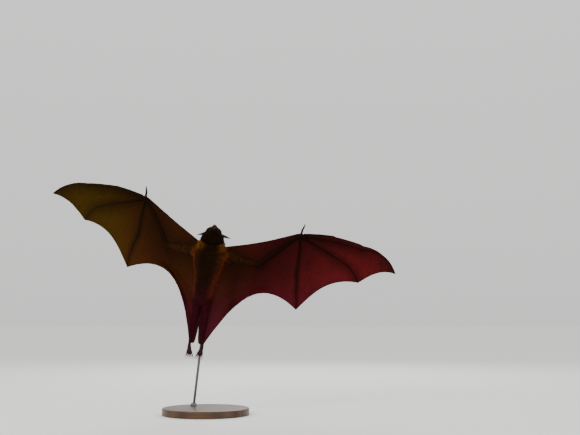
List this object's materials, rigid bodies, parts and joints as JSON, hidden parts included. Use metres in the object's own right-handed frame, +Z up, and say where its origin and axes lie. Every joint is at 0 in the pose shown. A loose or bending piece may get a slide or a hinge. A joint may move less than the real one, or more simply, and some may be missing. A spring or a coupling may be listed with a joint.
{
  "type": "flying fox bat, life-size model on a display stand",
  "caption": "Large fruit bat in slow flapping flight, belly forward, wings spread, held up by a steel rod on a round flat wooden base.",
  "frame": {"origin": "centre of the stand base's flat underside, on the floor", "axes": "+Z up, +X towards the bat's spread left wing, -Y the way its belly faces"},
  "size_m": [1.1106, 0.27, 0.7378],
  "materials": {
    "black_fur": "short dense matt fur, black-brown",
    "collar_fur": "longer rufous-brown fur",
    "bare_skin": "dark matt skin over the bones, nose, ears and feet",
    "wing_membrane": "thin wrinkled membrane, olive brown to dark maroon",
    "eye": "wet, glossy, dark brown",
    "claw": "dark polished horn",
    "walnut": "oiled, satin",
    "steel": "darkened, brushed"
  },
  "bodies": {
    "root": {"trunk": "black_fur", "neck": "collar_fur", "head": "black_fur", "lower_jaw": "black_fur", "nose": "bare_skin", "eye_left": "eye", "ear_left": "bare_skin", "thigh_left": "black_fur", "shank_left": "black_fur", "foot_claw_1_left": "claw", "foot_claw_2_left": "claw", "foot_claw_3_left": "claw", "foot_claw_4_left": "claw", "foot_claw_5_left": "claw", "foot_left": "bare_skin", "upper_arm_left": "black_fur", "forearm_left": "bare_skin", "wrist_left": "bare_skin", "thumb_left": "bare_skin", "thumb_claw_left": "claw", "digit_2_left": "bare_skin", "digit_2_claw_left": "claw", "digit_3_left": "bare_skin", "digit_4_left": "bare_skin", "digit_5_left": "bare_skin", "web_2_3_left": "wing_membrane", "web_3_4_left": "wing_membrane", "web_4_5_left": "wing_membrane", "propatagium_left": "wing_membrane", "plagiopatagium_left": "wing_membrane", "eye_right": "eye", "ear_right": "bare_skin", "thigh_right": "black_fur", "shank_right": "black_fur", "foot_claw_1_right": "claw", "foot_claw_2_right": "claw", "foot_claw_3_right": "claw", "foot_claw_4_right": "claw", "foot_claw_5_right": "claw", "foot_right": "bare_skin", "upper_arm_right": "black_fur", "forearm_right": "bare_skin", "wrist_right": "bare_skin", "thumb_right": "bare_skin", "thumb_claw_right": "claw", "digit_2_right": "bare_skin", "digit_2_claw_right": "claw", "digit_3_right": "bare_skin", "digit_4_right": "bare_skin", "digit_5_right": "bare_skin", "web_2_3_right": "wing_membrane", "web_3_4_right": "wing_membrane", "web_4_5_right": "wing_membrane", "propatagium_right": "wing_membrane", "plagiopatagium_right": "wing_membrane", "uropatagium": "wing_membrane", "stand_base": "walnut", "stand_collar": "steel", "stand_rod": "steel"}
  },
  "joints": []
}
